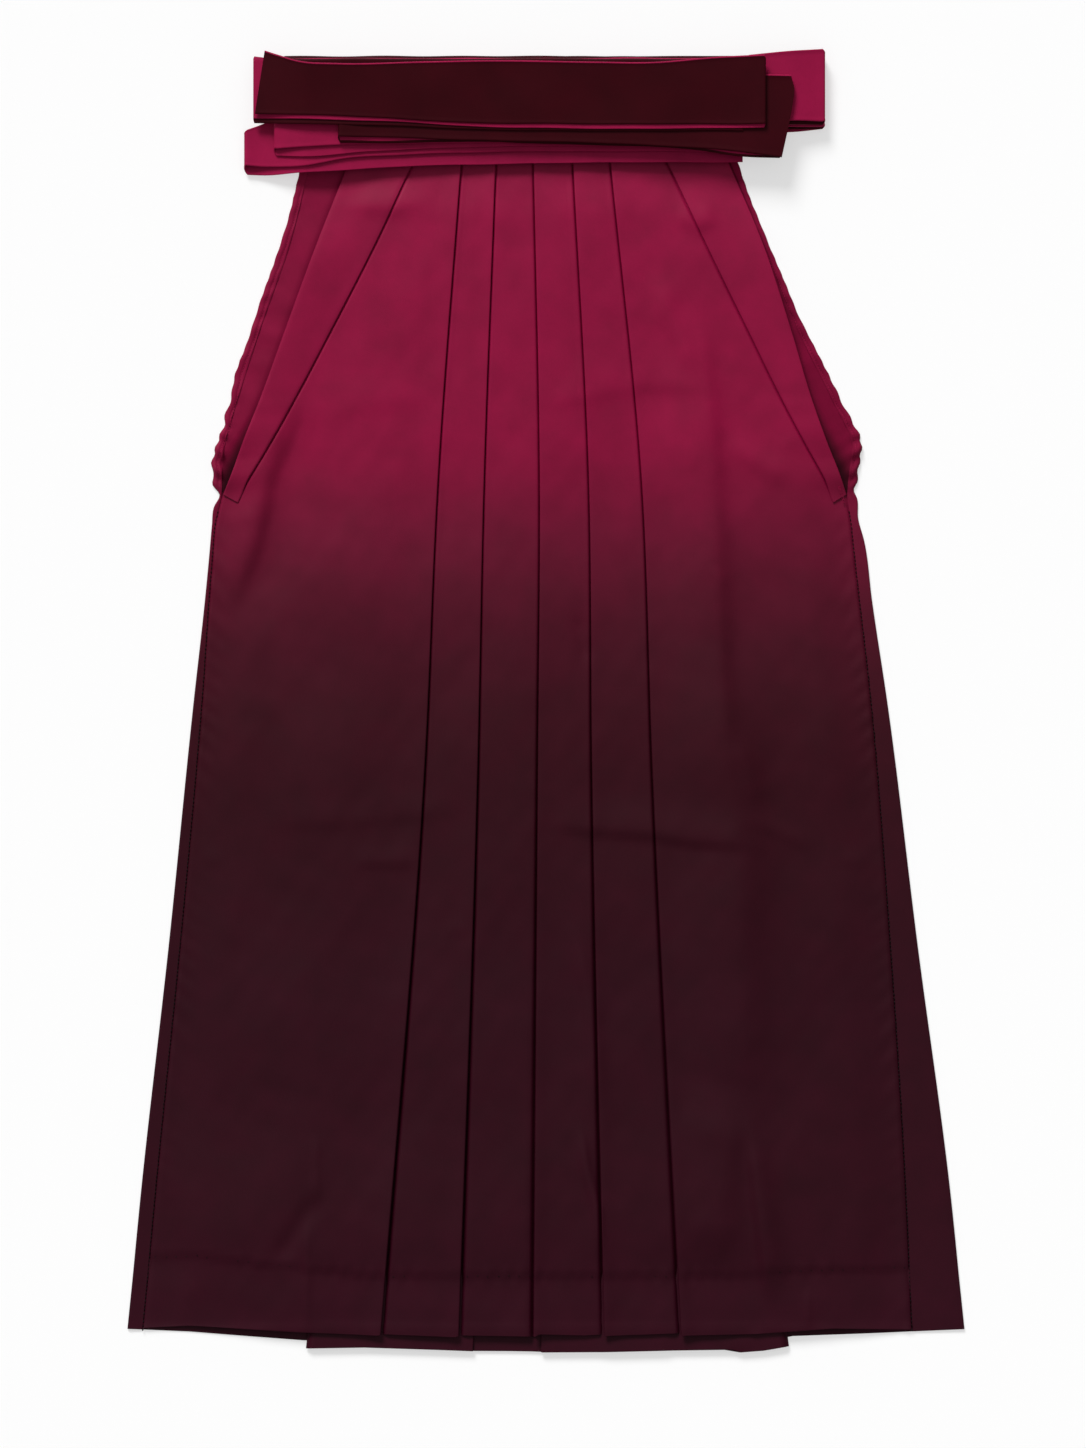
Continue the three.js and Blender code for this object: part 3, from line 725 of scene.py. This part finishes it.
def waistband(name, left, right, z):
    x = np.linspace(left, right, 90)[None, :]
    y = heights(WAIST + GAP, BAND_TOP, 4)[:, None]
    x, y = np.broadcast_arrays(x, y)
    sag = 0.1 * ripples(x, y, 12, 6, 40, 120) * (1 if z > WAISTBAND else 0)
    piece, cut = cloth_piece(name, x, y, z + sag, strip_dyed, WAISTBAND)
    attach(piece, "root")
    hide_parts(name)


waistband("back_waistband", -199, 156, 1)
waistband("front_waistband", -160, 148, 6)


# ---------- belt bands ----------
# The himo: long stiffened bands, dark plum on one face and crimson on the other, folded to and fro
# over the waist. Each stretch that shows is one band, from the layer that shows most downwards.
BAND = 0.9                     # thickness
ROLL = 1.1                     # how far the crimson face is rolled over a dark face's upper edge
DROOP_FROM, DROOP_TO, DROOP = -192, -240, 7.5   # the left ends hang down beside the garment
RIGHT_FROM, RIGHT_TO = 196, 226
LOOSE = 2.6                    # how far the whole stack stands up from its pressed height
SWELL_REACH = 32               # how far from a fold its loop stands open
SLANT_REACH = 40               # how far from a cut end its slant is felt
CORNER = 1.3                   # how far a fold's corners are rounded off
WANDER = 0.45                  # how unevenly the edges run
PLUM = (48, 1, 9)
CRIMSON = (139, 17, 60)


def band_cloth(name):
    """Both faces in one material: the attribute "crimson" is 1 where the crimson cloth shows."""
    material, tree = new_material(name)
    place = tree.add("ShaderNodeTexCoord")["Object"]
    crimson = tree.add("ShaderNodeAttribute", {"attribute_name": "crimson"})["Fac"]
    colour = tree.add("ShaderNodeMix", {"data_type": "RGBA"}, {
        "Factor": crimson, 6: (*linear(*PLUM), 1), 7: (*linear(*CRIMSON), 1)})["Result"]
    surface(tree, {"Base Color": speckle(tree, place, colour), "Roughness": 0.52, "Specular IOR Level": 0.055,
                   "Normal": twill(tree, place)["Normal"]})
    return material


himo_twill = band_cloth("himo_twill")


def settle(x, z):
    """How far a band lies above its pressed height: loosely stacked over the waist, sinking beside it."""
    loose = LOOSE * smooth(4, 9, z) * (1 - 0.6 * smooth(DROOP_FROM, DROOP_TO, x))
    return loose - DROOP * smooth(DROOP_FROM, DROOP_TO, x) - 0.28 * z * smooth(RIGHT_FROM, RIGHT_TO, x)


def band_stations(layers):
    """Places along a band: x, lower edge, upper edge and height. Each layer gives its height, its edges
    and how far its far end swells up round the loop to the next layer."""
    stations = []
    for n, (z, swell, edges) in enumerate(layers):
        first, last = edges[0][0], edges[-1][0]
        x = np.linspace(first, last, int(abs(last - first) / 3.5) + 2)
        low = line_through([(px, py) for px, py, _ in edges], x)
        high = line_through([(px, py) for px, _, py in edges], x)
        rise = swell * np.clip(1 - np.abs(x - last) / SWELL_REACH, 0, 1) ** 2
        stations += list(zip(x, low, high, z + rise))
        if n + 1 == len(layers):
            break
        next_z, _, next_edges = layers[n + 1]
        side = math.copysign(1, last - first)
        radius = (z + swell - next_z) / 2
        reach = side * max(side * last, side * next_edges[0][0])
        for a in np.radians(np.linspace(-75, 75, 9)):
            t, corner = (math.sin(a) + 1) / 2, CORNER * math.cos(a)
            low = edges[-1][1] + (next_edges[0][1] - edges[-1][1]) * t
            high = edges[-1][2] + (next_edges[0][2] - edges[-1][2]) * t
            stations.append((reach + side * radius * 0.9 * math.cos(a), low + corner, high - corner,
                             next_z + radius - radius * math.sin(a)))
    return np.array(stations).T


def band_section(up, under, roll, rim=0.0):
    """One cut across a band: from which edge, how far in or what share of the width, how high above its
    middle, and whether crimson shows there. up and under are its faces, roll its upper edge, rim how far
    the up face is turned over the lower edge."""
    half, shares = BAND / 2, np.linspace(0.08, 0.92, 12)
    section = [("low", half * 0.3, 0.7, up), ("low", half, 1.3, up),
               ("low", 1.3, 1.45, up), ("low", 2.6, 1, up)]
    section += [("share", share, 1, up) for share in shares]
    section += [("high", ROLL + 0.2, 1, up), ("high", ROLL, 1.2, roll), ("high", half, 1.1, roll)]
    section += [("high", half * 0.3, 0.7, roll), ("high", 0, 0, roll), ("high", half * 0.3, -0.7, roll)]
    section += [("high", half, -1, under)]
    section += [("share", share, -1, under) for share in reversed(shares)]
    section += [("low", max(rim, half) + 0.2, -1, under), ("low", max(rim, half), -1, up if rim else under)]
    section += [("low", half * 0.3, -0.7, up if rim else under), ("low", 0, 0, up)]
    return section


def signed_volume(mesh):
    mesh.calc_loop_triangles()
    corners = [[mesh.vertices[v].co for v in triangle.vertices] for triangle in mesh.loop_triangles]
    return sum(a.dot(b.cross(c)) for a, b, c in corners) / 6


def closed_loft(name, rings, crimson):
    """A closed mesh through rings of points, and the object for it. crimson is one number a point."""
    points = np.array(rings)
    count, columns = points.shape[:2]
    number = np.arange(count * columns).reshape(count, columns)
    after = np.roll(number, -1, axis=1)
    quads = np.stack([number[:-1], after[:-1], after[1:], number[1:]], axis=-1).reshape(-1, 4).tolist()
    mesh = bpy.data.meshes.new(name)
    mesh.from_pydata(points.reshape(-1, 3), [], quads + [number[0][::-1].tolist(), number[-1].tolist()])
    mesh.attributes.new("crimson", "FLOAT", "POINT").data.foreach_set("value", np.ravel(crimson))
    if signed_volume(mesh) < 0:
        mesh.flip_normals()
    mesh.shade_smooth()
    mesh.set_sharp_from_angle(angle=math.radians(70))
    mesh.materials.append(himo_twill)
    piece = bpy.data.objects.new(name, mesh)
    bpy.context.scene.collection.objects.link(piece)
    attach(piece, "root")
    return piece


def band(name, layers, faces, first_end=((0, 0), (1, 0)), lift=0, rim=0.0):
    """A band through its layers. faces are its two faces, the one that is up on the first layer first:
    1 for crimson, 0 for plum. first_end is the outline of its first end: shares of the width from the
    lower edge, and how far out the cloth reaches there. lift raises that end. rim is the first face's
    turn over the lower edge."""
    x, low, high, z = band_stations(layers)
    gone = np.concatenate([[0], np.cumsum(np.hypot(np.diff(x), np.diff(z)))])
    low = low + WANDER * ripples(x, z * 9, 33, 6, 30, 110)
    near_end = np.clip(1 - gone / SLANT_REACH, 0, 1) ** 2
    turn_x, turn_z = np.gradient(x), np.gradient(z)
    size = np.hypot(turn_x, turn_z) * math.copysign(1, turn_x[0])
    normal_x, normal_z = -turn_z / size, turn_x / size
    half = BAND / 2
    rings, crimson = [], []
    for origin, amount, off, face in band_section(*faces, 1, rim):
        y = {"share": low + (high - low) * amount, "low": low + amount, "high": high - amount}[origin]
        share = (y - low) / (high - low)
        shift = near_end * np.interp(share, *zip(*first_end))
        wave = 0.018 * z * ripples(x, y, 21, 7, 45, 140) * smooth(0, 20, z)
        rings.append(at_metre(
            x + normal_x * off * half + shift, y,
            z + normal_z * off * half + settle(x, z) + wave + lift * near_end))
        crimson.append(np.full(len(x), float(face)))
    piece = closed_loft(name, np.stack(rings, axis=1), np.stack(crimson, axis=1))
    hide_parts(name)


band("himo_top", [
    (22.6, 1.2, [(-232, 476.5, 528.5), (-218, 476, 524.5), (-200, 475.5, 519.5), (-170, 475, 517.7),
                 (-100, 470.5, 519), (-40, 468.5, 520), (40, 468, 518.8), (85, 468, 518.5), (142, 468, 523),
                 (177, 468, 524.5)]),
    (21.5, 0, [(177, 465.5, 522), (85, 464.5, 515), (-40, 465.5, 515.5), (-150, 471, 514), (-200, 472.5, 519),
               (-237, 473, 524)]),
    (20.4, 0, [(-237, 469.5, 523.5), (-150, 467.5, 514), (-40, 463.5, 515), (160, 463, 519)]),
], (0, 1), ((0, -4.5), (1, 3.5)), 1.8, 0)

band("himo_second", [
    (19.2, 1.2, [(193, 441.5, 508.5), (154, 446, 509.5), (117, 449, 510), (44, 452.5, 511), (-70, 455.5, 513),
                 (-131, 457.8, 514), (-167, 458.5, 514)]),
    (17.4, 0, [(-167, 453, 511), (-131, 453, 511), (-90, 454, 511), (44, 451, 509), (117, 448, 506),
               (154, 442.3, 505), (190, 441, 504)]),
], (0, 1), ((0, -1.5), (0.33, 3.4), (0.58, 6.7), (0.82, 9), (1, 5.9)), 0, 2.0)

band("himo_third", [
    (15.4, 2.0, [(160, 453, 507), (-119, 452.5, 507), (-200, 450, 507), (-219, 449, 507)]),
    (13.4, 0, [(-219, 443.5, 501), (-200, 442.5, 501), (-143, 446.5, 503), (160, 452, 506)]),
], (1, 1))

band("himo_lowest", [
    (11.6, 2.8, [(160, 447, 500), (-119, 443.5, 500), (-164, 441, 498), (-200, 434.5, 488),
                 (-225, 434.5, 472),
                 (-243, 436, 465)]),
    (9.4, 0, [(-243, 428.5, 463), (-225, 427.8, 470), (-200, 429.5, 484), (-164, 432, 489),
              (-119, 434.5, 492),
              (-21, 437, 495), (77, 438, 497), (160, 438, 499)]),
], (1, 1))

band("himo_right", [
    (15.3, 0, [(165, 471.5, 525), (195, 471.5, 528), (225, 471, 530.2)]),
    (11.8, 0, [(225, 468.5, 528), (165, 468.5, 524)]),
    (8.3, 0, [(165, 467.5, 524), (225, 467, 527)]),
    (4.8, 0, [(225, 466, 527), (165, 466, 523)]),
    (1.3, 0, [(165, 463, 523), (205, 463.5, 524), (225, 466, 526)]),
], (1, 0))


# ---------- hidden turns of the belt ----------
# The rest of the folded belt, of which only the upper edges show: six layers in one stack.
STACK = [   # middle height, upper edge, lower edge, crimson upper edge
    (1.9, 525, 509, 0), (5.0, 524.2, 509, 1), (8.1, 525, 509, 0), (11.2, 524.4, 509, 0),
    (14.4, 522.6, 509, 1), (18.2, 521.8, 515, 0),
]
STACK_LEFT, STACK_RIGHT, STACK_WALL = -213, 158, 2.7


def stack_layer(z, high, low, edge_crimson):
    """Points of one layer's rings from left to right, each a flat shape with its upper edge rounded."""
    x = np.linspace(STACK_LEFT, STACK_RIGHT, 110)
    half = STACK_WALL / 2
    wander = 0.5 * ripples(x, np.full(len(x), z * 9), 31, 5, 50, 160)
    section = [(low, -1, 0), (low, 1, 0), (high - 2.2, 1, 0), (high - 1.6, 1, edge_crimson)]
    section += [(high - half + half * math.cos(a), math.sin(a), edge_crimson)
                for a in np.radians([60, 30, 0, -30, -60])]
    section += [(high - 1.6, -1, 0)]
    rings = np.stack([at_metre(x, y + wander * (y > low), z + half * off + settle(x, 0) * z / 20)
                      for y, off, _ in section], axis=1)
    return rings, np.tile([float(face) for *_, face in section], (len(x), 1))


stack = [closed_loft(f"stack_layer_{n}", *stack_layer(*layer)) for n, layer in enumerate(STACK)]
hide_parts("himo_hidden_layers")


# ---------- sewing ----------
# Small stitches in dyed thread: the beaded seams down both sides, the topstitched hems of the
# openings, the blind-stitched front hem, and the bar tacks that end the sasahida.
def stitch_tree():
    """Geometry Nodes that set one small thread lump after another along every line of a mesh."""
    group = bpy.data.node_groups.new("stitches", "GeometryNodeTree")
    for name, kind in (("Line", "Geometry"), ("Spacing", "Float"), ("Length", "Float"),
                       ("Thickness", "Float"),
                       ("Waver", "Float"), ("Seed", "Int"), ("Thread", "Material")):
        group.interface.new_socket(name, in_out="INPUT", socket_type="NodeSocket" + kind)
    group.interface.new_socket("Stitches", in_out="OUTPUT", socket_type="NodeSocketGeometry")
    tree = Tree(group)
    given = tree.add("NodeGroupInput")
    curve = tree.add("GeometryNodeMeshToCurve", {}, {"Mesh": given["Line"]})["Curve"]
    places = tree.add("GeometryNodeResampleCurve", {"mode": "LENGTH"}, {
        "Curve": curve, "Length": given["Spacing"]})
    low = tree.add("ShaderNodeCombineXYZ", {}, {axis: given["Waver"] * -1 for axis in "XY"})["Vector"]
    high = tree.add("ShaderNodeCombineXYZ", {}, {axis: given["Waver"] for axis in "XY"})["Vector"]
    stray = tree.add("FunctionNodeRandomValue", {"data_type": "FLOAT_VECTOR"}, {
        "Min": low, "Max": high, "Seed": given["Seed"]})["Value"]
    placed = tree.add("GeometryNodeSetPosition", {}, {
        "Geometry": places["Curve"], "Offset": stray})["Geometry"]
    tangent = tree.add("GeometryNodeInputTangent")["Tangent"]
    turned = tree.add("FunctionNodeAlignRotationToVector", {"axis": "X"}, {"Vector": tangent})["Rotation"]
    lump = tree.add("GeometryNodeMeshUVSphere", {}, {"Segments": 6, "Rings": 4, "Radius": 0.5})["Mesh"]
    size = tree.add("ShaderNodeCombineXYZ", {}, {
        "X": given["Length"], "Y": given["Thickness"], "Z": given["Thickness"]})["Vector"]
    stitches = tree.add("GeometryNodeInstanceOnPoints", {}, {
        "Points": placed, "Instance": lump, "Rotation": turned, "Scale": size})["Instances"]
    real = tree.add("GeometryNodeRealizeInstances", {}, {"Geometry": stitches})["Geometry"]
    soft = tree.add("GeometryNodeSetShadeSmooth", {}, {"Geometry": real})["Geometry"]
    threaded = tree.add("GeometryNodeSetMaterial", {}, {
        "Geometry": soft, "Material": given["Thread"]})["Geometry"]
    tree.add("NodeGroupOutput", {}, {"Stitches": threaded})
    return group


stitch_group = stitch_tree()


def sew(name, lines, thread, seed, spacing, length, thickness=0.45, waver=0.1):
    """Stitches along lines of points, all in millimetres."""
    points, edges = [], []
    for line in lines:
        edges += [(len(points) + n, len(points) + n + 1) for n in range(len(line) - 1)]
        points += line.tolist()
    mesh = bpy.data.meshes.new(name)
    mesh.from_pydata(points, edges, [])
    piece = bpy.data.objects.new(name, mesh)
    bpy.context.scene.collection.objects.link(piece)
    maker = piece.modifiers.new("stitches", "NODES")
    maker.node_group = stitch_group
    given = {"Spacing": spacing / 1000, "Length": length / 1000, "Thickness": thickness / 1000,
             "Waver": waver / 1000, "Seed": seed, "Thread": thread}
    for socket in stitch_group.interface.items_tree:
        if socket.name in given:
            maker[socket.identifier] = given[socket.name]
    made = bpy.data.meshes.new_from_object(piece.evaluated_get(bpy.context.evaluated_depsgraph_get()))
    piece.modifiers.clear()
    piece.data = made
    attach(piece, "root")


thread_dark = dyed_cloth("thread_dark", 0.1)
thread_body = dyed_cloth("thread_body", 1.5)

for hand, side, seed in (("left", -1, 1), ("right", 1, 2)):
    y = np.arange(HEM + 3, OPENING_END - 12, 2.0)
    x = edge("front_" + hand, y) + side * 0.25
    seam_line = at_metre(x, y, front_height(x, y) - 0.5)
    sew(f"seam_stitches_{hand}", [seam_line], thread_dark, seed, 3.3, 2.5, 1.1, 0.12)
    y = np.arange(182, WAIST - 30, 2.0)
    rim = edge("back_" + hand, y)
    x = rim - side * TOPSTITCH
    hem_line = at_metre(x, y, CLOTH / 2 + LAYER + opening_folds(x, y, rim, side) + ONE_LAYER / 2)
    sew(f"opening_stitches_{hand}", [hem_line], thread_body, seed + 2, 2.3, 1.5, 0.4, 0.08)

x = np.arange(-318, 294, 2.0)
y = np.interp(x, *zip(*HEM_STITCHES))
hem_line = at_metre(x, y, front_height(x, y) + ONE_LAYER / 2)
sew("hem_stitches", [hem_line], thread_dark, 5, 8.5, 1.3, 0.5, 0.4)

TACK = [(239, 174, 6.4), (241.5, 168, 5.4), (243, 161.5, 4.6)]   # x, y and height
TACK_ROWS = (-1, -0.3, 0.4)
tacks = [at_metre([x + across for x, *_ in TACK], [y for _, y, _ in TACK], [z for *_, z in TACK])
         for across in TACK_ROWS]
sew("bar_tack_right", tacks, thread_body, 6, 1.2, 1.1, 0.5, 0.15)
